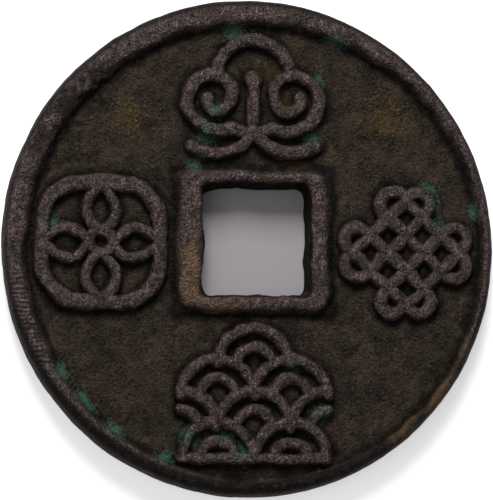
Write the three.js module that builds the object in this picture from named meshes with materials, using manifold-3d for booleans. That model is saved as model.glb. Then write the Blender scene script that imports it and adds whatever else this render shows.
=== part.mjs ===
// A large cast bronze charm coin of the old square-holed kind, lying on its reverse.
// The flan has a raised outer rim and a raised rim round the hole on both faces. Four raised devices
// stand on the obverse field: a cloud above the hole, a knot on its right, waves below and a framed
// blossom on its left.
// Millimetres. +Z is the obverse normal and +Y the top of the obverse. The origin is the centre of the
// plane that the reverse rims rest on.

import * as THREE from "three";
import { mergeVertices } from "three/addons/utils/BufferGeometryUtils.js";
import Module from "manifold-3d";

// The flan. It was cast by hand, so it is a little out of round.
const COIN_WIDTH = 59.6;
const COIN_HEIGHT = 60.4;
const THICKNESS = 4.0;
const PARTING_HEIGHT = 1.6; // the widest line of the edge, where the two mould halves met
const OBVERSE_SHOULDER = 0.9; // how far the rounded edge reaches in over the obverse rim
const REVERSE_SHOULDER = 0.7;

// The outer rims. The obverse one was cut off centre, so it is widest at the upper left.
const OBVERSE_RIM_RISE = 1.1;
const OBVERSE_RIM_INNER_RADIUS = 27.4; // at its foot
const OBVERSE_RIM_OFFSET = { x: 0.65, y: -0.6 };
const REVERSE_RIM_RISE = 0.8;
const REVERSE_RIM_INNER_RADIUS = 26.8;
const RIM_DRAFT = 0.55; // how far a rim's flank leans back over its rise
const RIM_LIP = 0.22; // rounding of a rim's upper edge
const RIM_FOOT = 0.2; // fillet where a flank meets the field

// The hole tapers towards the reverse, as the mould core did.
const HOLE_CENTRE = { x: 0.88, y: 0.76 };
const HOLE_WIDTH_OBVERSE = 13.2;
const HOLE_HEIGHT_OBVERSE = 13.8;
const HOLE_WIDTH_REVERSE = 12.1;
const HOLE_HEIGHT_REVERSE = 12.8;
const HOLE_CORNER_RADIUS = 0.9;
const HOLE_LIP = 0.3;

// The rims round the hole, measured over their feet.
const OBVERSE_HOLE_RIM = { x: 0.53, y: 0.64, width: 19.1, height: 17.7, corner: 2.2 };
const REVERSE_HOLE_RIM = { x: 0.88, y: 0.76, width: 17.6, height: 18.2, corner: 2.2 };

// The devices on the obverse field.
const DEVICE_RISE = 0.95;
const DEVICE_GAP = 0.6; // bare field between a device and the rims
const FLANK_RISE = 0.62; // height at which a stroke's steep flank turns into its rounded crown
const FLANK_INSET = 0.2;
const CROWN_INSET = 0.42;
const CLOUD_STROKE = 1.6;
const KNOT_STROKE = 1.55;
const WAVE_STROKE = 1.4;
const FRAME_STROKE = 1.9;
const PETAL_STROKE = 1.35;

// How finely round forms are cut into facets.
const RIM_STEPS = 96;
const CORNER_STEPS = 6;
const SHOULDER_STEPS = 4;
const BUTTON_STEPS = 8;
const DEGREES_PER_STEP = 22.5;
const CUT_PAST = 1; // how far a cutter runs past the face it cuts through

const wasm = await Module();
wasm.setup();

const OBVERSE_FIELD = THICKNESS - OBVERSE_RIM_RISE;
const REVERSE_FIELD = REVERSE_RIM_RISE;

// A closed geometry with unshared vertices merged becomes a solid that can be joined and cut.
function solidFrom(geometry) {
  const bare = geometry.clone();
  bare.deleteAttribute("normal");
  bare.deleteAttribute("uv");
  const merged = mergeVertices(bare, 1e-4);
  return new wasm.Manifold(
    new wasm.Mesh({
      numProp: 3,
      vertProperties: merged.attributes.position.array,
      triVerts: new Uint32Array(merged.index.array),
    }),
  );
}

function geometryFrom(solid) {
  const mesh = solid.getMesh();
  const geometry = new THREE.BufferGeometry();
  geometry.setAttribute("position", new THREE.BufferAttribute(mesh.vertProperties, 3));
  geometry.setIndex(new THREE.BufferAttribute(mesh.triVerts, 1));
  geometry.computeVertexNormals();
  return geometry;
}

function indexed(points, triangles) {
  const geometry = new THREE.BufferGeometry();
  geometry.setAttribute("position", new THREE.Float32BufferAttribute(points.flat(), 3));
  geometry.setIndex(triangles.flat());
  return geometry;
}

// Joins level outlines, lowest first, each a counter-clockwise list of [x, y] round a convex form.
function loft(levels) {
  const count = levels[0].outline.length;
  const points = levels.flatMap(({ z, outline }) => outline.map(([x, y]) => [x, y, z]));
  const triangles = [];
  for (let level = 0; level + 1 < levels.length; level++) {
    for (let i = 0; i < count; i++) {
      const a = level * count + i;
      const b = level * count + ((i + 1) % count);
      triangles.push([a, b, b + count], [a, b + count, a + count]);
    }
  }
  const top = (levels.length - 1) * count;
  for (let i = 1; i + 1 < count; i++) {
    triangles.push([0, i + 1, i], [top, top + i, top + i + 1]);
  }
  return solidFrom(indexed(points, triangles));
}

function oval(radiusX, radiusY, centre = { x: 0, y: 0 }) {
  return Array.from({ length: RIM_STEPS }, (_, i) => {
    const angle = (2 * Math.PI * i) / RIM_STEPS;
    return [centre.x + radiusX * Math.cos(angle), centre.y + radiusY * Math.sin(angle)];
  });
}

function roundedRectangle({ x, y, width, height, corner }) {
  const outline = [];
  for (let quarter = 0; quarter < 4; quarter++) {
    const sideX = quarter === 0 || quarter === 3 ? 1 : -1;
    const sideY = quarter < 2 ? 1 : -1;
    for (let i = 0; i <= CORNER_STEPS; i++) {
      const angle = (Math.PI / 2) * (quarter + i / CORNER_STEPS);
      outline.push([
        x + sideX * (width / 2 - corner) + corner * Math.cos(angle),
        y + sideY * (height / 2 - corner) + corner * Math.sin(angle),
      ]);
    }
  }
  return outline;
}

// The same rounded rectangle drawn in by a distance on every side.
function drawnIn(rectangle, distance) {
  return {
    ...rectangle,
    width: rectangle.width - 2 * distance,
    height: rectangle.height - 2 * distance,
    corner: Math.max(rectangle.corner - distance, 0.1),
  };
}

// The flan: flat on both faces, with a rounded edge that is widest at the parting line.
function flan() {
  const levels = [];
  const addLevel = (z, inset) => {
    levels.push({ z, outline: oval(COIN_WIDTH / 2 - inset, COIN_HEIGHT / 2 - inset) });
  };
  for (let i = 0; i <= SHOULDER_STEPS; i++) {
    const angle = (Math.PI / 2) * (i / SHOULDER_STEPS);
    addLevel(PARTING_HEIGHT * (1 - Math.cos(angle)), REVERSE_SHOULDER * (1 - Math.sin(angle)));
  }
  const rise = THICKNESS - PARTING_HEIGHT;
  for (let i = 1; i <= SHOULDER_STEPS; i++) {
    const angle = (Math.PI / 2) * (i / SHOULDER_STEPS);
    addLevel(PARTING_HEIGHT + rise * Math.sin(angle), OBVERSE_SHOULDER * (1 - Math.cos(angle)));
  }
  return loft(levels);
}

// The heights and set-backs of a rim's flank, from the field up to past the rim's top.
function flankProfile(rise) {
  return [
    { height: 0, setBack: -RIM_FOOT },
    { height: RIM_FOOT / 2, setBack: 0 },
    { height: rise - RIM_LIP, setBack: RIM_DRAFT },
    { height: rise, setBack: RIM_DRAFT + RIM_LIP },
    { height: rise + CUT_PAST, setBack: RIM_DRAFT + RIM_LIP },
  ];
}

// The space over one field: round outside, with the rim of the hole left standing in it. On the
// reverse the same profile is laid upside down.
function recess(fieldHeight, direction, rise, radius, offset, holeRim) {
  const profile = flankProfile(rise);
  const level = ({ height, setBack }, outlineAt) => ({
    z: fieldHeight + direction * height,
    outline: outlineAt(setBack),
  });
  const inOrder = (levels) => (direction > 0 ? levels : levels.reverse());
  const space = loft(
    inOrder(profile.map((step) => level(step, (s) => oval(radius + s, radius + s, offset)))),
  );
  const rimBody = loft(
    inOrder(
      [{ height: -CUT_PAST, setBack: -RIM_FOOT }, ...profile].map((step) =>
        level(step, (s) => roundedRectangle(drawnIn(holeRim, s))),
      ),
    ),
  );
  return space.subtract(rimBody);
}

function hole() {
  const reverse = { ...HOLE_CENTRE, width: HOLE_WIDTH_REVERSE, height: HOLE_HEIGHT_REVERSE };
  const obverse = { ...HOLE_CENTRE, width: HOLE_WIDTH_OBVERSE, height: HOLE_HEIGHT_OBVERSE };
  const section = (z, size, flare) => ({
    z,
    outline: roundedRectangle(drawnIn({ ...size, corner: HOLE_CORNER_RADIUS }, -flare)),
  });
  return loft([
    section(-CUT_PAST, reverse, HOLE_LIP),
    section(0, reverse, HOLE_LIP),
    section(HOLE_LIP, reverse, 0),
    section(THICKNESS - HOLE_LIP, obverse, 0),
    section(THICKNESS, obverse, HOLE_LIP),
    section(THICKNESS + CUT_PAST, obverse, HOLE_LIP),
  ]);
}

function coinBody() {
  const centred = { x: 0, y: 0 };
  return flan()
    .subtract(
      recess(
        OBVERSE_FIELD,
        1,
        OBVERSE_RIM_RISE,
        OBVERSE_RIM_INNER_RADIUS,
        OBVERSE_RIM_OFFSET,
        OBVERSE_HOLE_RIM,
      ),
    )
    .subtract(
      recess(
        REVERSE_FIELD,
        -1,
        REVERSE_RIM_RISE,
        REVERSE_RIM_INNER_RADIUS,
        centred,
        REVERSE_HOLE_RIM,
      ),
    )
    .subtract(hole());
}

// The raised section of a stroke, as [distance from its centreline, height], left foot to right foot.
function strokeSection(width) {
  const half = width / 2;
  const side = [
    [half, 0],
    [half - FLANK_INSET, FLANK_RISE],
    [half - CROWN_INSET, DEVICE_RISE],
  ];
  return [...side, ...side.toReversed().map(([offset, height]) => [-offset, height])];
}

// Unit normals along a flat line of [x, y], lengthened at its corners so that the width holds there.
function mitres(line, closed) {
  const count = line.length;
  return line.map((_, i) => {
    const before = closed ? line[(i + count - 1) % count] : line[Math.max(i - 1, 0)];
    const here = line[i];
    const after = closed ? line[(i + 1) % count] : line[Math.min(i + 1, count - 1)];
    const first = new THREE.Vector2(here[0] - before[0], here[1] - before[1]);
    const second = new THREE.Vector2(after[0] - here[0], after[1] - here[1]);
    const into = (first.length() ? first : second).clone().normalize();
    const out = (second.length() ? second : first).clone().normalize();
    const tangent = into.clone().add(out).normalize();
    return new THREE.Vector2(-tangent.y, tangent.x).divideScalar(tangent.dot(into));
  });
}

// Carries the raised section along a flat line. An open stroke gets a round button at each end.
function stroke(line, width, closed = false) {
  const section = strokeSection(width);
  const size = section.length;
  const normals = mitres(line, closed);
  const points = line.flatMap(([x, y], i) =>
    section.map(([offset, height]) => [
      x + normals[i].x * offset,
      y + normals[i].y * offset,
      height,
    ]),
  );
  const triangles = [];
  for (let i = 0; i < line.length - (closed ? 0 : 1); i++) {
    const next = ((i + 1) % line.length) * size;
    for (let k = 0; k < size; k++) {
      const a = i * size + k;
      const b = i * size + ((k + 1) % size);
      triangles.push([a, next + ((k + 1) % size), next + k], [a, b, next + ((k + 1) % size)]);
    }
  }
  if (closed) return solidFrom(indexed(points, triangles));
  const last = (line.length - 1) * size;
  for (let k = 1; k + 1 < size; k++) {
    triangles.push([0, k + 1, k], [last, last + k, last + k + 1]);
  }
  const body = solidFrom(indexed(points, triangles));
  return body.add(button(line[0], width)).add(button(line.at(-1), width));
}

// A round boss with the same flank and crown as the strokes.
function button([x, y], width) {
  const side = strokeSection(width).slice(0, 3);
  const profile = [[0, 0], ...side, [0, DEVICE_RISE]].map(([r, z]) => new THREE.Vector2(r, z));
  const geometry = new THREE.LatheGeometry(profile, BUTTON_STEPS);
  geometry.rotateX(Math.PI / 2);
  geometry.translate(x, y, 0);
  return solidFrom(geometry);
}

// Points on an arc or spiral. Angles are in degrees, and the radius may change along it.
function arc([x, y], radius, fromAngle, toAngle, endRadius = radius) {
  const steps = Math.max(2, Math.ceil(Math.abs(toAngle - fromAngle) / DEGREES_PER_STEP));
  return Array.from({ length: steps + 1 }, (_, i) => {
    const share = i / steps;
    const angle = THREE.MathUtils.degToRad(THREE.MathUtils.lerp(fromAngle, toAngle, share));
    const r = THREE.MathUtils.lerp(radius, endRadius, share);
    return [x + r * Math.cos(angle), y + r * Math.sin(angle)];
  });
}

const mirrored = (line) => line.map(([x, y]) => [-x, y]);
const turned = (line, degrees) => {
  const cos = Math.cos(THREE.MathUtils.degToRad(degrees));
  const sin = Math.sin(THREE.MathUtils.degToRad(degrees));
  return line.map(([x, y]) => [x * cos - y * sin, x * sin + y * cos]);
};
const joined = (solids) => solids.reduce((whole, solid) => whole.add(solid));

// A cloud: two volutes, a lobe that joins them over the top, a stem and two trailing tails.
// Its lines lie within half above and below its centre.
function cloud(half) {
  const volute = arc([-0.66 * half, -0.02 * half], 0.6 * half, -58, -545, 0.14 * half);
  const neck = [0, -0.66 * half];
  const tail = arc([-0.64 * half, -0.28 * half], 0.7 * half, -35, -128);
  const halves = [volute, tail, [volute[0], neck]];
  const lobe = arc([0, 0.38 * half], 0.62 * half, -4, 184);
  const stem = [neck, [0, 0.3 * half]];
  return joined([
    ...halves.map((line) => stroke(line, CLOUD_STROKE)),
    ...halves.map((line) => stroke(mirrored(line), CLOUD_STROKE)),
    stroke(lobe, CLOUD_STROKE),
    stroke(stem, CLOUD_STROKE),
    button(stem[1], 1.5 * CLOUD_STROKE),
  ]);
}

// An endless knot: four lines each way, crossing on a slant, with their ends looped in pairs.
function knot(half) {
  const runPast = 1.73; // how far a line runs from the middle, in spacings
  const spacing = half / ((runPast + 1) * Math.SQRT1_2 + 0.5);
  const run = runPast * spacing;
  const lines = [-1.5, -0.5, 0.5, 1.5].map((row) => [
    [-run, row * spacing],
    [run, row * spacing],
  ]);
  const loops = [-1, 1].flatMap((side) => [
    arc([run, side * spacing], spacing / 2, -90, 90),
    arc([-run, side * spacing], spacing / 2, 90, 270),
  ]);
  const oneWay = [...lines, ...loops];
  return joined(
    [45, 135].flatMap((slant) => oneWay.map((line) => stroke(turned(line, slant), KNOT_STROKE))),
  );
}

// Waves: rows of scales, each a large and a small arch, whose feet stand on the row below.
function waves(half) {
  const radius = 0.53 * half;
  const inner = 0.255 * half;
  const rowRise = 0.455 * half;
  const base = -0.9 * half;
  const arches = (x, row, from = 0, to = 180, size = 1) =>
    [radius, inner].map((r) => arc([x, base + row * rowRise], size * r, from, to));
  const ground = [
    [-2 * radius, base],
    [2 * radius, base],
  ];
  const lines = [
    ground,
    ...arches(-radius, 0),
    ...arches(radius, 0),
    ...arches(-2 * radius, 1, 0, 90),
    ...arches(0, 1),
    ...arches(2 * radius, 1, 90, 180),
    ...arches(-radius, 2),
    ...arches(radius, 2),
    ...arches(0, 3, 0, 180, 0.98),
  ];
  return joined(lines.map((line) => stroke(line, WAVE_STROKE)));
}

// A four-petalled blossom whose petals reach a cushion-shaped frame. The frame's centreline lies
// half away from its centre.
function framedBlossom(half) {
  const frame = roundedRectangle({
    x: 0,
    y: 0,
    width: 2 * half,
    height: 2.03 * half,
    corner: 0.66 * half,
  });
  const heart = 0.2 * half;
  const petalSteps = 7;
  const petalEdge = Array.from({ length: petalSteps + 1 }, (_, i) => {
    const share = i / petalSteps;
    return [
      THREE.MathUtils.lerp(heart, half, share),
      0.27 * half * Math.sin(Math.PI * share ** 0.85),
    ];
  });
  const petalSides = [petalEdge, petalEdge.map(([x, y]) => [x, -y])];
  return joined([
    stroke(frame, FRAME_STROKE, true),
    stroke(arc([0, 0], heart, 0, 360).slice(0, -1), PETAL_STROKE, true),
    ...[0, 90, 180, 270].flatMap((turn) =>
      petalSides.map((side) => stroke(turned(side, turn), PETAL_STROKE)),
    ),
  ]);
}

// The middle of the bare field between the hole's rim and the outer rim, and how far the centreline
// of a stroke may lie from that middle, along one direction from the hole.
function band(rimSide, outerSide, strokeWidth) {
  return {
    middle: (rimSide + outerSide) / 2,
    half: Math.abs(outerSide - rimSide) / 2 - RIM_FOOT - DEVICE_GAP - strokeWidth / 2,
  };
}

const rimEdge = {
  left: OBVERSE_HOLE_RIM.x - OBVERSE_HOLE_RIM.width / 2,
  right: OBVERSE_HOLE_RIM.x + OBVERSE_HOLE_RIM.width / 2,
  bottom: OBVERSE_HOLE_RIM.y - OBVERSE_HOLE_RIM.height / 2,
  top: OBVERSE_HOLE_RIM.y + OBVERSE_HOLE_RIM.height / 2,
};
const fieldEdge = {
  left: OBVERSE_RIM_OFFSET.x - OBVERSE_RIM_INNER_RADIUS,
  right: OBVERSE_RIM_OFFSET.x + OBVERSE_RIM_INNER_RADIUS,
  bottom: OBVERSE_RIM_OFFSET.y - OBVERSE_RIM_INNER_RADIUS,
  top: OBVERSE_RIM_OFFSET.y + OBVERSE_RIM_INNER_RADIUS,
};
const above = band(rimEdge.top, fieldEdge.top, CLOUD_STROKE);
const below = band(rimEdge.bottom, fieldEdge.bottom, WAVE_STROKE);
const onLeft = band(rimEdge.left, fieldEdge.left, FRAME_STROKE);
const onRight = band(rimEdge.right, fieldEdge.right, KNOT_STROKE);

const bronze = new THREE.MeshStandardMaterial({ color: 0x4a4038, roughness: 0.62, metalness: 0.75 });
const rubbedBronze = new THREE.MeshStandardMaterial({
  color: 0x635853,
  roughness: 0.5,
  metalness: 0.8,
});

function part(name, solid, material) {
  const mesh = new THREE.Mesh(geometryFrom(solid), material);
  mesh.name = name;
  return mesh;
}

// A device stands on the obverse field, at a place given on the face.
function device(name, solid, x, y) {
  const mesh = part(name, solid, rubbedBronze);
  mesh.position.set(x, y, OBVERSE_FIELD);
  return mesh;
}

const coin = new THREE.Group();
coin.add(
  part("coin_body", coinBody(), bronze),
  device("cloud_relief", cloud(above.half), OBVERSE_HOLE_RIM.x, above.middle),
  device("knot_relief", knot(onRight.half), onRight.middle, OBVERSE_RIM_OFFSET.y),
  device("wave_relief", waves(below.half), OBVERSE_RIM_OFFSET.x, below.middle),
  device("blossom_relief", framedBlossom(onLeft.half), onLeft.middle, -OBVERSE_RIM_OFFSET.y / 2),
);

export default coin;
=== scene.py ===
"""A cast bronze charm coin with a square hole, lying on a white table."""

import math

import bmesh
import bpy
from bpy.props import FloatProperty, FloatVectorProperty, IntProperty, PointerProperty
from mathutils import Matrix, Vector, noise
from mathutils.bvhtree import BVHTree


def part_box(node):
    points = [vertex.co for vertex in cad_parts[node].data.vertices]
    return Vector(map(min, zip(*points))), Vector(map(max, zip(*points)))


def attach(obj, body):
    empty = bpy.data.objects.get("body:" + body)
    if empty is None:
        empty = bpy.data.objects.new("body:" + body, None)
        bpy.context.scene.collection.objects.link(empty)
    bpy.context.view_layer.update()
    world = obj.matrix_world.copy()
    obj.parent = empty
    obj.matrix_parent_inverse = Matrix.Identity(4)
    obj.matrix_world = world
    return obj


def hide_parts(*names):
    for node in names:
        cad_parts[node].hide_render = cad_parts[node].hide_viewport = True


bl_info = {
    "name": "Charm coin",
    "version": (1, 0, 0),
    "blender": (4, 5, 0),
    "location": "View3D > Sidebar > Coin",
    "description": "Cast bronze charm coin with a square hole, worn and patinated",
    "category": "Add Mesh",
}

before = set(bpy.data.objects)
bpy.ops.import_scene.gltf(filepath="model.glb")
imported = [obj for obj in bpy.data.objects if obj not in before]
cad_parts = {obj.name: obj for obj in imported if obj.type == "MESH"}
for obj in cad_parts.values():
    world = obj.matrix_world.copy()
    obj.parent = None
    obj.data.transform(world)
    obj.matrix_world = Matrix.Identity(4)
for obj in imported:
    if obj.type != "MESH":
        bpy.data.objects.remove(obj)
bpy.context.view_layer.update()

MM = 0.001
BODY_NODE = "coin_body"
DEVICE_NODES = ("cloud_relief", "knot_relief", "wave_relief", "blossom_relief")

# Heights and reach of the coin, taken from its solids
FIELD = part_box("cloud_relief")[0].z
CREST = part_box(BODY_NODE)[1].z
DEVICE_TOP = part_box("cloud_relief")[1].z
OUTER_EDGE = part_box(BODY_NODE)[1].x

# Feet of the rims in millimetres, and the height of the reverse's field, the same as in the solids
OBVERSE_RIM = {"x": 0.65, "y": -0.6, "radius": 27.4}
REVERSE_RIM = {"x": 0.0, "y": 0.0, "radius": 26.8}
OBVERSE_HOLE_RIM = {"x": 0.53, "y": 0.64, "width": 19.1, "height": 17.7}
REVERSE_HOLE_RIM = {"x": 0.88, "y": 0.76, "width": 17.6, "height": 18.2}
REVERSE_FIELD = 0.8 * MM

# Making the skin: points nearer than this are one, and a foot's points lie in so thin a band
MERGE_DISTANCE = 0.001 * MM
FOOT_BAND = 0.01 * MM
WEAR_FACTOR = 0.5

# Straying edges: the width of each pattern and its share
STRAYS = ((3.4 * MM, 1.0), (1.3 * MM, 0.45))

# Patterns of the skin: their widths, and how strong they are beside the swell or the pits
SWELL_WIDTH = 2.6 * MM
RIPPLE_WIDTH = 0.75 * MM
RIPPLE_SHARE = 0.5
PIT_WIDTH = 1.15 * MM
PIT_START = 0.36
PIT_GAIN = 3
COARSE_SAND_WIDTH = 0.6 * MM
COARSE_SAND_GAIN = 2

# Shifts that make one noise into patterns that don't match
ACROSS_PATTERN = Vector((7, 3, 1))
ALONG_PATTERN = Vector((2, 9, 5))
PIT_PATTERN = Vector((11, 5, 2))

# Where the skin stays calm: over a held height, and in a band along the outer edge
HOLD_FADE = 0.4 * MM
CALM_BAND = 1.6 * MM
CALM_SHARE = 0.75

# Marks on the surface, each as x, y and radius in millimetres: copper salts, earth, bare metal, file
# marks and coarse moulding sand
VERDIGRIS = (
    (-1.8, 26.2, 1.5), (10.7, 25.8, 1.7), (-4.2, 16.5, 1.3), (-5.0, 13.7, 1.5), (-6.6, 10.1, 1.1),
    (8.9, 20.6, 1.2), (7.7, 13.4, 1.3), (-23.8, 2.4, 1.4), (22.2, 7.7, 1.6), (22.5, 5.2, 1.3),
    (22.8, 2.8, 1.3), (27.1, 4.6, 1.3), (-7.2, -23.2, 1.6), (-3.0, -23.2, 1.4), (-0.8, -25.1, 1.6),
    (-10.1, -25.1, 1.3), (8.7, -20.2, 1.5), (5.3, -14.2, 1.3), (-22.6, -15.4, 1.5),
    (-19.6, -18.6, 1.8), (-16.0, -22.0, 1.5),
)
OCHRE = (
    (3.4, 21.0, 2.2), (4.4, 17.4, 2.2), (5.4, 10.7, 1.5), (16.8, 16.1, 2.6), (19.8, 0.8, 1.6),
    (-14.7, 15.5, 2.0),
)
BARE = (
    (-6.6, -1.4, 3.0), (-6.4, -5.4, 3.2), (-2.6, -8.2, 3.2), (21.3, -16.6, 5.4), (17.6, -20.6, 4.2),
    (24.2, -11.6, 3.8),
)
FILED = ((-26.4, -6.0, 4.0), (-25.8, -9.4, 4.4), (-24.6, -12.6, 3.6))
SANDY = ((-24.4, 13.0, 4.2), (-22.0, 16.8, 4.4), (-18.6, 20.0, 3.8))
STAIN_REACH = 1.5

# Where a finish starts and where it is full. A rise is 0 at the field and 1 at the top, a level is 0
# on an upright face and 1 on a flat one, and a distance is in millimetres
BODY_RUBBED_RISE = (0.2, 0.7)
BODY_RUBBED_LEVEL = (0.45, 0.85)
DEVICE_RUBBED_RISE = (0.25, 0.75)
DEVICE_RUBBED_LEVEL = (0.2, 0.75)
BARE_RISE = (0.25, 0.6)
FILED_NEARNESS = (0, 0.5)
FILED_BAND = (OUTER_EDGE - 3 * MM, OUTER_EDGE - 2 * MM)
SHELTER_DISTANCE = (0.3, 1.3)
DEVICE_SHELTER = 0.6

# Dirt and painted shade at the feet: how near, how low, and how far its edge wavers
FOOT_DIRT_AND_SHADE_DISTANCE = (0.15, 1.05)
FOOT_DIRT_AND_SHADE_RISE = (0.2, 0.6)
DEVICE_DIRT_AND_SHADE_RISE = (0.05, 0.45)
DEVICE_REACH = 1.6 * MM
FOOT_WAVER_WIDTH = 1.1 * MM
FOOT_WAVER = 0.5

# Painted shade on the steep sides of the hole and of its rims, all of which lie this near the middle
HOLE_SIDES_REACH = 11.2 * MM
STEEP = 0.4

# Painted shade on the outer shoulder, whose bevel turns away from the lamps: its width in millimetres,
# how much wider it is at the bottom of the obverse, how it fades, and its share on the upright edge
SHOULDER_SHADE = 0.8
SHOULDER_SHADE_BELOW = 1.0
SHOULDER_FADE = 0.6 * MM
SHOULDER_LEVEL = (0.2, 0.6)
UPRIGHT_SHADE = 0.45

# Dirt in the coarse sand
SANDY_NEARNESS = (0.35, 0.7)
SANDY_WAVER_WIDTH = 0.8 * MM
SANDY_WAVER = 0.7
SANDY_DIRT = 0.75

# Patterns of the bronze: their widths, the streaks' turn and stretch, and the depth of the relief
MOTTLE_WIDTH = 3.2 * MM
CRUMB_WIDTH = 0.9 * MM
STREAK_WIDTH = 0.4 * MM
STREAK_TURN = 0.6
STREAK_STRETCH = 0.34
RELIEF_DEPTH = 0.24 * MM
BODY_RUBBED_SHARE = 0.9
DEVICE_RUBBED_SHARE = 0.85

# A wave texture repeats after this much of its own length
WAVE_PERIOD = math.tau / 20

# Sockets of a node that mixes two colours
FACTOR, FIRST, SECOND, MIXED = 0, 6, 7, 2

# Table and card under the coin: each reaches this far from the middle and lies this far down
TABLE_REACH = 1.5
TABLE_DROP = 0.02 * MM
TABLE_GLOW = 0.5
CARD_REACH = 18 * MM
CARD_DROP = 0.01 * MM
CARD_SIDES = 64

# Lamps, in metres and watts, and the world's even light
KEY_LAMP = {"place": (-0.05, 0.42, 0.34), "width": 0.22, "power": 3.4}
FILL_LAMP = {"place": (-0.30, -0.05, 0.50), "width": 0.40, "power": 0.55}
WORLD_LIGHT = 0.25

# The camera looks down from a little to the lower left
CAMERA_DIRECTION = (-0.108, -0.108, 0.988)
CAMERA_TARGET = (-0.12 * MM, -0.22 * MM, 1.6 * MM)
CAMERA_DISTANCE = 0.6
CAMERA_LENS = 357.5
CAMERA_CLIP = 0.01


def linear(code):
    """An sRGB hex colour as linear red, green and blue."""
    parts = [int(code[i:i + 2], 16) / 255 for i in (1, 3, 5)]
    return tuple(c / 12.92 if c <= 0.04045 else ((c + 0.055) / 1.055) ** 2.4 for c in parts)


class CoinSizes(bpy.types.PropertyGroup):
    """Sizes of the cast and worn surface."""

    body_step: FloatProperty(
        name="Body skin step", description="Width of the faces that the body's skin is made of",
        default=0.27 * MM, unit="LENGTH", precision=5)
    device_step: FloatProperty(
        name="Device skin step", description="Width of the faces that the raised devices are made of",
        default=0.14 * MM, unit="LENGTH", precision=5)
    device_root: FloatProperty(
        name="Device root", description="How far a raised device goes down into the field's skin",
        default=0.3 * MM, unit="LENGTH", precision=5)
    wander: FloatProperty(
        name="Edge wander", description="How far hand-carved edges stray from their line",
        default=0.3 * MM, unit="LENGTH", precision=5)
    spread: FloatProperty(
        name="Spread", description="How far the sides of a raised line have spread in casting",
        default=0.2 * MM, unit="LENGTH", precision=5)
    swell: FloatProperty(
        name="Swell", description="Height of the slow waves that the mould leaves on the skin",
        default=0.13 * MM, unit="LENGTH", precision=5)
    pit: FloatProperty(
        name="Pit depth", description="Depth of the small pits of casting and corrosion",
        default=0.16 * MM, unit="LENGTH", precision=5)
    grain: FloatProperty(
        name="Sand grain", description="Width of the moulding sand's grain",
        default=0.3 * MM, unit="LENGTH", precision=5)
    # The real marks lie about 0.37 mm apart. That is 3 pixels of the picture, so they are drawn coarser
    file_pitch: FloatProperty(
        name="File pitch", description="Distance between the file marks on the rim",
        default=0.55 * MM, unit="LENGTH", precision=5)
    wear_rounds: IntProperty(
        name="Wear", description="Rounds of smoothing that wear the edges", default=5, min=0)


class CoinColours(bpy.types.PropertyGroup):
    """Colours of the bronze and of what has grown on it, and of the stage."""

    field: FloatVectorProperty(
        name="Field", description="Dark brown patina of the field", subtype="COLOR",
        default=linear("#28231f"))
    olive: FloatVectorProperty(
        name="Olive cast", description="Lighter olive parts of the field's patina", subtype="COLOR",
        default=linear("#40382f"))
    rubbed: FloatVectorProperty(
        name="Rubbed crest", description="Greyish purple brown of rubbed high points", subtype="COLOR",
        default=linear("#3f3435"))
    # Painted glints: bright specks and streaks painted into the rubbed metal's colour as highlights
    painted_glint: FloatVectorProperty(
        name="Bright grain", description="Fine bright grains in the rubbed metal", subtype="COLOR",
        default=linear("#877876"))
    # Also the colour of the painted shade on the hole's sides, on the outer shoulder and at the feet of
    # raised lines
    dirt_and_shade: FloatVectorProperty(
        name="Dirt", description="Dark dirt at the foot of raised lines", subtype="COLOR",
        default=linear("#070505"))
    verdigris: FloatVectorProperty(
        name="Verdigris", description="Green copper salts in crevices", subtype="COLOR",
        default=linear("#41604f"))
    ochre: FloatVectorProperty(
        name="Ochre", description="Yellow brown earth stains", subtype="COLOR",
        default=linear("#7c6636"))
    rust: FloatVectorProperty(
        name="Rust", description="Broad faint rust brown stains on the field", subtype="COLOR",
        default=linear("#54401f"))
    bare: FloatVectorProperty(
        name="Bare bronze", description="Golden brown of thinly covered bronze", subtype="COLOR",
        default=linear("#634e38"))
    table: FloatVectorProperty(
        name="Table", description="White table top", subtype="COLOR", default=linear("#e9e7e9"))
    card: FloatVectorProperty(
        name="Card", description="Grey card under the coin", subtype="COLOR",
        default=linear("#989397"))


def ease(value, start, end):
    """0 below start, 1 above end and smooth between them."""
    share = min(max((value - start) / (end - start), 0.0), 1.0)
    return share * share * (3 - 2 * share)


def from_middle(point):
    """Distance from the coin's middle, seen from above."""
    return math.hypot(point.x, point.y)


def rise_of(point, top=CREST):
    """Height over the obverse's field, 1 at the top."""
    return (point.z - FIELD) / (top - FIELD)


def nearness(point, marks, reach=1.0):
    """1 at the middle of a mark, falling to 0 at reach times its radius. The highest one counts."""
    x, y = point.x / MM, point.y / MM
    return max(
        max(0.0, 1 - math.hypot(x - mark[0], y - mark[1]) / (mark[2] * reach)) for mark in marks)


def square_distance(x, y, rim):
    """Distance in millimetres from the foot of a hole's rim, seen from above."""
    across = abs(x - rim["x"]) - rim["width"] / 2
    along = abs(y - rim["y"]) - rim["height"] / 2
    if across > 0 and along > 0:
        return math.hypot(across, along)
    return abs(max(across, along))


def device_trees():
    """The devices' solids, as trees that give the distance to them."""
    trees = []
    for node in DEVICE_NODES:
        bm = bmesh.new()
        bm.from_mesh(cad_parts[node].data)
        trees.append(BVHTree.FromBMesh(bm))
        bm.free()
    return trees


def foot_distance(point, obverse, trees):
    """Distance in millimetres from the nearest rim's foot or device on this side of the coin."""
    rim = OBVERSE_RIM if obverse else REVERSE_RIM
    hole_rim = OBVERSE_HOLE_RIM if obverse else REVERSE_HOLE_RIM
    x, y = point.x / MM, point.y / MM
    ring = abs(math.hypot(x - rim["x"], y - rim["y"]) - rim["radius"])
    distances = [ring, square_distance(x, y, hole_rim)]
    if obverse:
        found = [tree.find_nearest(point, DEVICE_REACH)[3] for tree in trees]
        distances += [distance / MM for distance in found if distance is not None]
    return min(distances)


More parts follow.
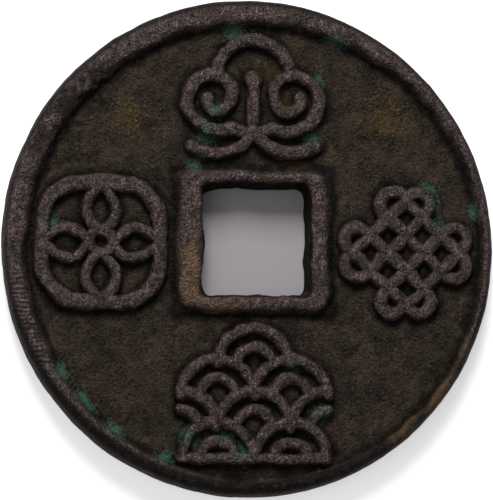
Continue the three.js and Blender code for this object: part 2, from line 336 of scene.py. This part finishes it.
def cast_copy(node, name, step, root, rounds):
    """A merged copy of a solid, remade in an even skin of small faces, its edges worn round.

    Its foot is first moved down by root, into what carries it.
    """
    bm = bmesh.new()
    bm.from_mesh(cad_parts[node].data)
    bmesh.ops.remove_doubles(bm, verts=bm.verts, dist=MERGE_DISTANCE)
    if root:
        foot = min(vert.co.z for vert in bm.verts)
        low = [vert for vert in bm.verts if vert.co.z < foot + FOOT_BAND]
        bmesh.ops.translate(bm, verts=low, vec=(0, 0, -root))
    mesh = bpy.data.meshes.new(name)
    bm.to_mesh(mesh)
    bm.free()
    piece = bpy.data.objects.new(name, mesh)
    bpy.context.collection.objects.link(piece)
    skin = piece.modifiers.new("Even skin", "REMESH")
    skin.mode = "VOXEL"
    skin.voxel_size = step
    worn = piece.modifiers.new("Worn edges", "SMOOTH")
    worn.factor = WEAR_FACTOR
    worn.iterations = rounds
    finished = bpy.data.meshes.new_from_object(
        piece.evaluated_get(bpy.context.evaluated_depsgraph_get()))
    piece.modifiers.clear()
    piece.data = finished
    bpy.data.meshes.remove(mesh)
    finished.name = name
    finished.materials.clear()
    finished.shade_smooth()
    return piece


def wandered(point, amount):
    """How far the point moves sideways, as a hand-cut pattern strays, alike for all that is near."""
    shift = Vector((0, 0, 0))
    for width, share in STRAYS:
        shift.x += noise.noise(point / width + ACROSS_PATTERN) * share
        shift.y += noise.noise(point / width + ALONG_PATTERN) * share
    return shift * amount


def roughen(piece, sizes, hold_below, spread):
    """Moves the skin's points: straying edges, swell, ripples, pits and coarse sand.

    Nothing is lifted below the held height, and crests are worn level.
    """
    mesh = piece.data
    normals = [vert.normal.copy() for vert in mesh.vertices]
    for vert, normal in zip(mesh.vertices, normals):
        place = vert.co.copy()
        swell = noise.noise(place / SWELL_WIDTH) * sizes.swell
        ripple = noise.noise(place / RIPPLE_WIDTH) * sizes.swell * RIPPLE_SHARE
        deep = max(0.0, noise.noise(place / PIT_WIDTH + PIT_PATTERN) - PIT_START)
        sand = nearness(place, SANDY) * noise.noise(place / COARSE_SAND_WIDTH) * sizes.pit * COARSE_SAND_GAIN
        lift = swell + ripple + sand - deep * sizes.pit * PIT_GAIN
        keep = ease(place.z, hold_below, hold_below + HOLD_FADE) if hold_below else 1.0
        calm = 1 - CALM_SHARE * ease(from_middle(place), OUTER_EDGE - CALM_BAND, OUTER_EDGE)
        outwards = Vector((normal.x, normal.y, 0)) * spread
        stray = wandered(place, sizes.wander) * calm
        vert.co = place + stray + outwards + normal * lift * keep * calm
        vert.co.z = min(max(vert.co.z, 0.0), CREST)
    mesh.update()


def floats(mesh, name, values):
    """Keeps one number for each point of the mesh, which the materials read by name."""
    layer = mesh.attributes.new(name, "FLOAT", "POINT")
    layer.data.foreach_set("value", values)


def stain(mesh, shelter, soil):
    """Keeps where the surface is stained, bare or filed.

    Shelter is how well each point holds verdigris, and soil how well it holds ochre.
    """
    points = [vert.co.copy() for vert in mesh.vertices]
    floats(mesh, "verdigris", [
        nearness(point, VERDIGRIS, STAIN_REACH) * held for point, held in zip(points, shelter)])
    floats(mesh, "ochre", [
        nearness(point, OCHRE, STAIN_REACH) * held for point, held in zip(points, soil)])
    floats(mesh, "bare", [
        ease(rise_of(point), *BARE_RISE) * nearness(point, BARE) for point in points])
    floats(mesh, "filed", [
        ease(from_middle(point), *FILED_BAND) * ease(nearness(point, FILED), *FILED_NEARNESS)
        for point in points])


def body_dirt_and_shade(point, level, rise, near):
    """How dark the body is painted: painted shade on the hole's sides and the outer shoulder, dirt and
    painted shade at feet, dirt in coarse sand.
    """
    # The steep sides of the hole and of its rims are painted fully dark, as shade
    if level < STEEP and max(abs(point.x), abs(point.y)) < HOLE_SIDES_REACH:
        return 1.0
    # Dirt and painted shade at the feet of the rims and devices
    foot = (1 - ease(near, *FOOT_DIRT_AND_SHADE_DISTANCE)) * (1 - ease(rise, *FOOT_DIRT_AND_SHADE_RISE))
    # Painted shade on the outer shoulder, wider towards the bottom of the obverse, away from the key lamp
    width = (SHOULDER_SHADE + SHOULDER_SHADE_BELOW * max(0.0, -point.y) / OUTER_EDGE) * MM
    shoulder_shade = ease(from_middle(point) + width, OUTER_EDGE, OUTER_EDGE + SHOULDER_FADE)
    shoulder_shade *= UPRIGHT_SHADE + (1 - UPRIGHT_SHADE) * ease(level, *SHOULDER_LEVEL)
    waver = noise.noise(point / SANDY_WAVER_WIDTH) * SANDY_WAVER
    sandy = ease(nearness(point, SANDY) + waver, *SANDY_NEARNESS)
    return max(foot, shoulder_shade, sandy * SANDY_DIRT)


def finish_body(piece):
    """Keeps where the body is rubbed, and where it is painted dark with dirt and painted shade."""
    trees = device_trees()
    rubbed, dirt_and_shade, shelter = [], [], []
    for vert in piece.data.vertices:
        point, level = vert.co, abs(vert.normal.z)
        obverse = point.z > (FIELD + REVERSE_FIELD) / 2
        rise = rise_of(point) if obverse else 1 - point.z / REVERSE_FIELD
        near = foot_distance(point, obverse, trees)
        near += noise.noise(point / FOOT_WAVER_WIDTH) * FOOT_WAVER
        rubbed.append(ease(rise, *BODY_RUBBED_RISE) * ease(level, *BODY_RUBBED_LEVEL))
        shelter.append(1 - ease(near, *SHELTER_DISTANCE))
        dirt_and_shade.append(body_dirt_and_shade(point, level, rise, near))
    floats(piece.data, "rubbed", rubbed)
    floats(piece.data, "dirt_and_shade", dirt_and_shade)
    stain(piece.data, shelter, soil=[1.0] * len(shelter))


def finish_device(piece):
    """Keeps where a raised device is rubbed, and where dirt and painted shade lie at its foot."""
    rubbed, dirt_and_shade = [], []
    for vert in piece.data.vertices:
        rise = rise_of(vert.co, DEVICE_TOP)
        rubbed.append(ease(rise, *DEVICE_RUBBED_RISE) * ease(vert.normal.z, *DEVICE_RUBBED_LEVEL))
        # Dirt and painted shade low on the device's sides
        dirt_and_shade.append(1 - ease(rise, *DEVICE_DIRT_AND_SHADE_RISE))
    floats(piece.data, "rubbed", rubbed)
    floats(piece.data, "dirt_and_shade", dirt_and_shade)
    shelter = [DEVICE_SHELTER + (1 - DEVICE_SHELTER) * held for held in dirt_and_shade]
    stain(piece.data, shelter, soil=dirt_and_shade)


def empty_material(name):
    """A new material and its node tree, with no nodes in it."""
    material = bpy.data.materials.new(name)
    material.use_nodes = True
    material.node_tree.nodes.clear()
    return material, material.node_tree


def add(tree, kind, inputs=None, **settings):
    """Adds a node with its settings, and sets or links its sockets."""
    made = tree.nodes.new(kind)
    for name, value in settings.items():
        setattr(made, name, value)
    for socket, value in (inputs or {}).items():
        if isinstance(value, bpy.types.NodeSocket):
            tree.links.new(value, made.inputs[socket])
        else:
            made.inputs[socket].default_value = value
    return made


# Cast bronze, poured in a sand mould, buried and then handled: a rough dark field, rubbed crests
# that show grey metal grain and painted glints, and dirt mixed with painted shade and copper salts held in
# the crevices
def cast_bronze(name, sizes, colours, rubbed_share):
    """The material of one piece, with its crests rubbed to that share."""
    material, tree = empty_material(name)
    place = add(tree, "ShaderNodeTexCoord").outputs["Object"]

    grain = add(tree, "ShaderNodeTexNoise", {
        "Vector": place, "Scale": 1 / sizes.grain, "Detail": 3.0, "Roughness": 0.6}).outputs["Fac"]
    mottle = add(tree, "ShaderNodeTexNoise", {
        "Vector": place, "Scale": 1 / MOTTLE_WIDTH, "Detail": 6.0, "Roughness": 0.65}).outputs["Fac"]
    crumbs = add(tree, "ShaderNodeTexNoise", {
        "Vector": place, "Scale": 1 / CRUMB_WIDTH, "Detail": 4.0, "Roughness": 0.7}).outputs["Fac"]
    rubbed = add(tree, "ShaderNodeAttribute", attribute_name="rubbed").outputs["Fac"]
    dirt_and_shade = add(tree, "ShaderNodeAttribute", attribute_name="dirt_and_shade").outputs["Fac"]
    filed = add(tree, "ShaderNodeAttribute", attribute_name="filed").outputs["Fac"]
    ochre = add(tree, "ShaderNodeAttribute", attribute_name="ochre").outputs["Fac"]

    # The patina: dark brown with olive clouds, and single yellowish grains
    clouds = add(tree, "ShaderNodeMapRange", {
        "Value": mottle, "From Min": 0.38, "From Max": 0.66}).outputs[0]
    patina = add(tree, "ShaderNodeMix", {
        FACTOR: clouds, FIRST: (*colours.field, 1), SECOND: (*colours.olive, 1)},
        data_type="RGBA").outputs[MIXED]
    dusted = add(tree, "ShaderNodeMapRange", {
        "Value": grain, "From Min": 0.57, "From Max": 0.7}).outputs[0]
    amount = add(tree, "ShaderNodeMapRange", {
        "Value": ochre, "From Max": 0.6, "To Min": 0.2, "To Max": 0.9}).outputs[0]
    dust = add(tree, "ShaderNodeMath", {0: dusted, 1: amount}, operation="MULTIPLY").outputs[0]
    colour = add(tree, "ShaderNodeMix", {
        FACTOR: dust, FIRST: patina, SECOND: (*colours.ochre, 1)}, data_type="RGBA").outputs[MIXED]

    # Rubbed metal, patchy where the patina still holds and streaked by handling; its bright streaks are
    # painted glints
    slant = add(tree, "ShaderNodeMapping", {
        "Vector": place, "Rotation": (0, 0, STREAK_TURN), "Scale": (1, STREAK_STRETCH, 1)}).outputs[0]
    streaks = add(tree, "ShaderNodeTexNoise", {
        "Vector": slant, "Scale": 1 / STREAK_WIDTH, "Detail": 5.0, "Roughness": 0.75,
        "Distortion": 1.6}).outputs["Fac"]
    patchy = add(tree, "ShaderNodeMapRange", {
        "Value": crumbs, "From Min": 0.34, "From Max": 0.6, "To Min": 0.1, "To Max": 1.0}).outputs[0]
    share = add(tree, "ShaderNodeMath", {0: rubbed, 1: patchy}, operation="MULTIPLY").outputs[0]
    share = add(tree, "ShaderNodeMath", {0: share, 1: rubbed_share}, operation="MULTIPLY").outputs[0]
    painted_glint_share = add(tree, "ShaderNodeMapRange", {
        "Value": streaks, "From Min": 0.46, "From Max": 0.72}).outputs[0]
    metal = add(tree, "ShaderNodeMix", {
        FACTOR: painted_glint_share, FIRST: (*colours.rubbed, 1), SECOND: (*colours.painted_glint, 1)},
        data_type="RGBA").outputs[MIXED]
    colour = add(tree, "ShaderNodeMix", {
        FACTOR: share, FIRST: colour, SECOND: metal}, data_type="RGBA").outputs[MIXED]

    # Pin holes between the grains, and dirt with painted shade at the feet of the raised lines, and painted
    # shade on the hole's sides and the outer shoulder
    hollows = add(tree, "ShaderNodeMapRange", {
        "Value": grain, "From Min": 0.32, "From Max": 0.48, "To Min": 0.75, "To Max": 0.0}).outputs[0]
    colour = add(tree, "ShaderNodeMix", {
        FACTOR: hollows, FIRST: colour, SECOND: (*colours.dirt_and_shade, 1)}, data_type="RGBA").outputs[MIXED]
    broken = add(tree, "ShaderNodeMapRange", {
        "Value": crumbs, "From Min": 0.3, "From Max": 0.55, "To Min": 0.5, "To Max": 1.0}).outputs[0]
    dirt_and_shade_share = add(tree, "ShaderNodeMath", {0: dirt_and_shade, 1: broken}, operation="MULTIPLY").outputs[0]
    colour = add(tree, "ShaderNodeMix", {
        FACTOR: dirt_and_shade_share, FIRST: colour, SECOND: (*colours.dirt_and_shade, 1)}, data_type="RGBA").outputs[MIXED]

    # Stains with crumbly edges: where each lies, its colour and strength, where it starts and is
    # full, and the pattern that breaks its edge
    stains = (
        ("bare", colours.bare, 0.75, 0.9, 1.7, crumbs),
        ("ochre", colours.rust, 0.4, 1.0, 1.7, mottle),
        ("verdigris", colours.verdigris, 0.85, 1.05, 1.75, grain))
    for layer, tint, strength, start, full, texture in stains:
        reach = add(tree, "ShaderNodeAttribute", attribute_name=layer).outputs["Fac"]
        edge = add(tree, "ShaderNodeMath", {
            0: texture, 1: 1.6, 2: reach}, operation="MULTIPLY_ADD").outputs[0]
        mask = add(tree, "ShaderNodeMapRange", {
            "Value": edge, "From Min": start, "From Max": full, "To Max": strength}).outputs[0]
        colour = add(tree, "ShaderNodeMix", {
            FACTOR: mask, FIRST: colour, SECOND: (*tint, 1)}, data_type="RGBA").outputs[MIXED]

    # Relief too fine for the mesh: sand grain everywhere and file marks on the rim
    wave = add(tree, "ShaderNodeTexWave", {
        "Vector": place, "Scale": WAVE_PERIOD / sizes.file_pitch, "Distortion": 5.0,
        "Detail": 3.0, "Detail Scale": 0.8}, wave_type="BANDS", bands_direction="Y").outputs["Fac"]
    marks = add(tree, "ShaderNodeMath", {0: wave, 1: filed}, operation="MULTIPLY").outputs[0]
    height = add(tree, "ShaderNodeMath", {
        0: marks, 1: 0.3, 2: grain}, operation="MULTIPLY_ADD").outputs[0]
    height = add(tree, "ShaderNodeMath", {
        0: crumbs, 1: 0.7, 2: height}, operation="MULTIPLY_ADD").outputs[0]
    relief = add(tree, "ShaderNodeBump", {
        "Height": height, "Strength": 1.0, "Distance": RELIEF_DEPTH}).outputs[0]

    # Rubbed metal shines a little, and dirt and painted shade are dull and hide it
    worn = add(tree, "ShaderNodeMath", {0: share, 1: dirt_and_shade_share}, operation="SUBTRACT").outputs[0]
    dull = add(tree, "ShaderNodeMapRange", {
        "Value": worn, "From Min": -1.0, "To Min": 0.85, "To Max": 0.4}).outputs[0]
    metallic = add(tree, "ShaderNodeMapRange", {
        "Value": dirt_and_shade_share, "To Min": 0.8, "To Max": 0.3}).outputs[0]
    shader = add(tree, "ShaderNodeBsdfPrincipled", {
        "Base Color": colour, "Roughness": dull, "Metallic": metallic,
        "Specular IOR Level": 0.12, "Normal": relief})
    add(tree, "ShaderNodeOutputMaterial", {"Surface": shader.outputs[0]})
    return material


# White painted table top, matt: it is seen a little brighter than it is lit, so that it reads as a
# white ground and still shows the coin's soft shadow
def white_table(colours):
    """The material of the table."""
    material, tree = empty_material("White painted table")
    rays = add(tree, "ShaderNodeLightPath").outputs
    seen = add(tree, "ShaderNodeMath", {
        0: rays["Is Camera Ray"], 1: rays["Is Glossy Ray"]}, operation="MAXIMUM").outputs[0]
    seen = add(tree, "ShaderNodeMath", {
        0: seen, 1: rays["Is Transmission Ray"]}, operation="MAXIMUM").outputs[0]
    glow = add(tree, "ShaderNodeMath", {0: seen, 1: TABLE_GLOW}, operation="MULTIPLY").outputs[0]
    shader = add(tree, "ShaderNodeBsdfPrincipled", {
        "Base Color": (*colours.table, 1), "Roughness": 0.9, "Emission Color": (1, 1, 1, 1),
        "Emission Strength": glow})
    add(tree, "ShaderNodeOutputMaterial", {"Surface": shader.outputs[0]})
    return material


# Matt grey card under the coin, of which only the part in the square hole is seen
def grey_card(colours):
    """The material of the card."""
    material, tree = empty_material("Matt grey card")
    shader = add(tree, "ShaderNodeBsdfPrincipled", {
        "Base Color": (*colours.card, 1), "Roughness": 0.95})
    add(tree, "ShaderNodeOutputMaterial", {"Surface": shader.outputs[0]})
    return material


def stage_piece(name, bm, drop, material):
    """A flat piece of the stage, that far below the coin."""
    bmesh.ops.translate(bm, verts=bm.verts, vec=(0, 0, -drop))
    mesh = bpy.data.meshes.new(name)
    bm.to_mesh(mesh)
    bm.free()
    mesh.materials.append(material)
    piece = bpy.data.objects.new(name, mesh)
    bpy.context.collection.objects.link(piece)
    return piece


def lamp(name, target, place, width, power):
    """A square soft lamp that points at the target."""
    light = bpy.data.lights.new(name, "AREA")
    light.size = width
    light.energy = power
    made = bpy.data.objects.new(name, light)
    made.location = place
    made.rotation_euler = (Vector(target) - Vector(place)).to_track_quat("-Z", "Y").to_euler()
    bpy.context.collection.objects.link(made)


def even_world(strength):
    """A white world of that strength."""
    world = bpy.data.worlds.new("Studio")
    world.use_nodes = True
    background = world.node_tree.nodes["Background"]
    background.inputs["Color"].default_value = (1, 1, 1, 1)
    background.inputs["Strength"].default_value = strength
    bpy.context.scene.world = world


def photo_camera():
    """The scene's camera, with the coin's y axis upright in its picture."""
    towards = Vector(CAMERA_DIRECTION).normalized()
    across = Vector((0, 1, 0)).cross(towards).normalized()
    upright = towards.cross(across)
    camera = bpy.data.objects.new("Camera", bpy.data.cameras.new("Camera"))
    camera.data.lens = CAMERA_LENS
    camera.data.clip_start = CAMERA_CLIP
    turn = Matrix((across, upright, towards)).transposed().to_4x4()
    camera.matrix_world = Matrix.Translation(Vector(CAMERA_TARGET) + towards * CAMERA_DISTANCE) @ turn
    bpy.context.collection.objects.link(camera)
    bpy.context.scene.camera = camera


class COIN_OT_body(bpy.types.Operator):
    """Cast the coin's body with its rims and square hole"""

    bl_idname = "coin.body"
    bl_label = "Coin body"

    def execute(self, context):
        sizes, colours = context.scene.coin_sizes, context.scene.coin_colours
        piece = cast_copy(
            BODY_NODE, "coin_body_cast", sizes.body_step, root=0, rounds=sizes.wear_rounds)
        roughen(piece, sizes, hold_below=0, spread=0)
        finish_body(piece)
        piece.data.materials.append(
            cast_bronze("Sand-cast bronze, patinated", sizes, colours, BODY_RUBBED_SHARE))
        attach(piece, "root")
        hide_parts(BODY_NODE)
        return {"FINISHED"}


class COIN_OT_devices(bpy.types.Operator):
    """Cast the four raised devices: cloud, knot, waves and blossom"""

    bl_idname = "coin.devices"
    bl_label = "Raised devices"

    def execute(self, context):
        sizes, colours = context.scene.coin_sizes, context.scene.coin_colours
        material = cast_bronze("Sand-cast bronze, rubbed", sizes, colours, DEVICE_RUBBED_SHARE)
        for node in DEVICE_NODES:
            piece = cast_copy(
                node, node + "_cast", sizes.device_step, sizes.device_root, sizes.wear_rounds)
            roughen(piece, sizes, hold_below=FIELD, spread=sizes.spread)
            finish_device(piece)
            piece.data.materials.append(material)
            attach(piece, "root")
            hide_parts(node)
        return {"FINISHED"}


class COIN_OT_stage(bpy.types.Operator):
    """Set the white table, the soft lamps and the camera"""

    bl_idname = "coin.stage"
    bl_label = "Table, lamps and camera"

    def execute(self, context):
        colours = context.scene.coin_colours
        bm = bmesh.new()
        bmesh.ops.create_grid(bm, x_segments=1, y_segments=1, size=TABLE_REACH)
        table = stage_piece("table_top", bm, TABLE_DROP, white_table(colours))
        bm = bmesh.new()
        bmesh.ops.create_circle(bm, cap_ends=True, segments=CARD_SIDES, radius=CARD_REACH)
        card = stage_piece("grey_card", bm, CARD_DROP, grey_card(colours))

        middle = (0, 0, FIELD)
        lamp("Key lamp", middle, **KEY_LAMP)
        lamp("Fill lamp", middle, **FILL_LAMP)
        even_world(WORLD_LIGHT)
        context.scene.view_settings.view_transform = "Standard"
        photo_camera()
        return {"FINISHED"}


class COIN_PT_panel(bpy.types.Panel):
    """Sizes, colours and pieces of the coin"""

    bl_idname = "COIN_PT_panel"
    bl_label = "Charm coin"
    bl_space_type = "VIEW_3D"
    bl_region_type = "UI"
    bl_category = "Coin"

    def draw(self, context):
        for group in (context.scene.coin_sizes, context.scene.coin_colours):
            for name in group.__annotations__:
                self.layout.prop(group, name)
        for operator in OPERATORS:
            self.layout.operator(operator.bl_idname)


OPERATORS = (COIN_OT_body, COIN_OT_devices, COIN_OT_stage)
CLASSES = (CoinSizes, CoinColours, *OPERATORS, COIN_PT_panel)


def register():
    """Adds the coin's classes and settings to Blender."""
    for made in CLASSES:
        bpy.utils.register_class(made)
    bpy.types.Scene.coin_sizes = PointerProperty(type=CoinSizes)
    bpy.types.Scene.coin_colours = PointerProperty(type=CoinColours)


def unregister():
    """Takes them away again."""
    del bpy.types.Scene.coin_colours
    del bpy.types.Scene.coin_sizes
    for made in reversed(CLASSES):
        bpy.utils.unregister_class(made)


def main():
    """Makes the pieces and the stage."""
    register()
    bpy.ops.coin.body()
    bpy.ops.coin.devices()
    bpy.ops.coin.stage()


if __name__ == "__main__":
    main()
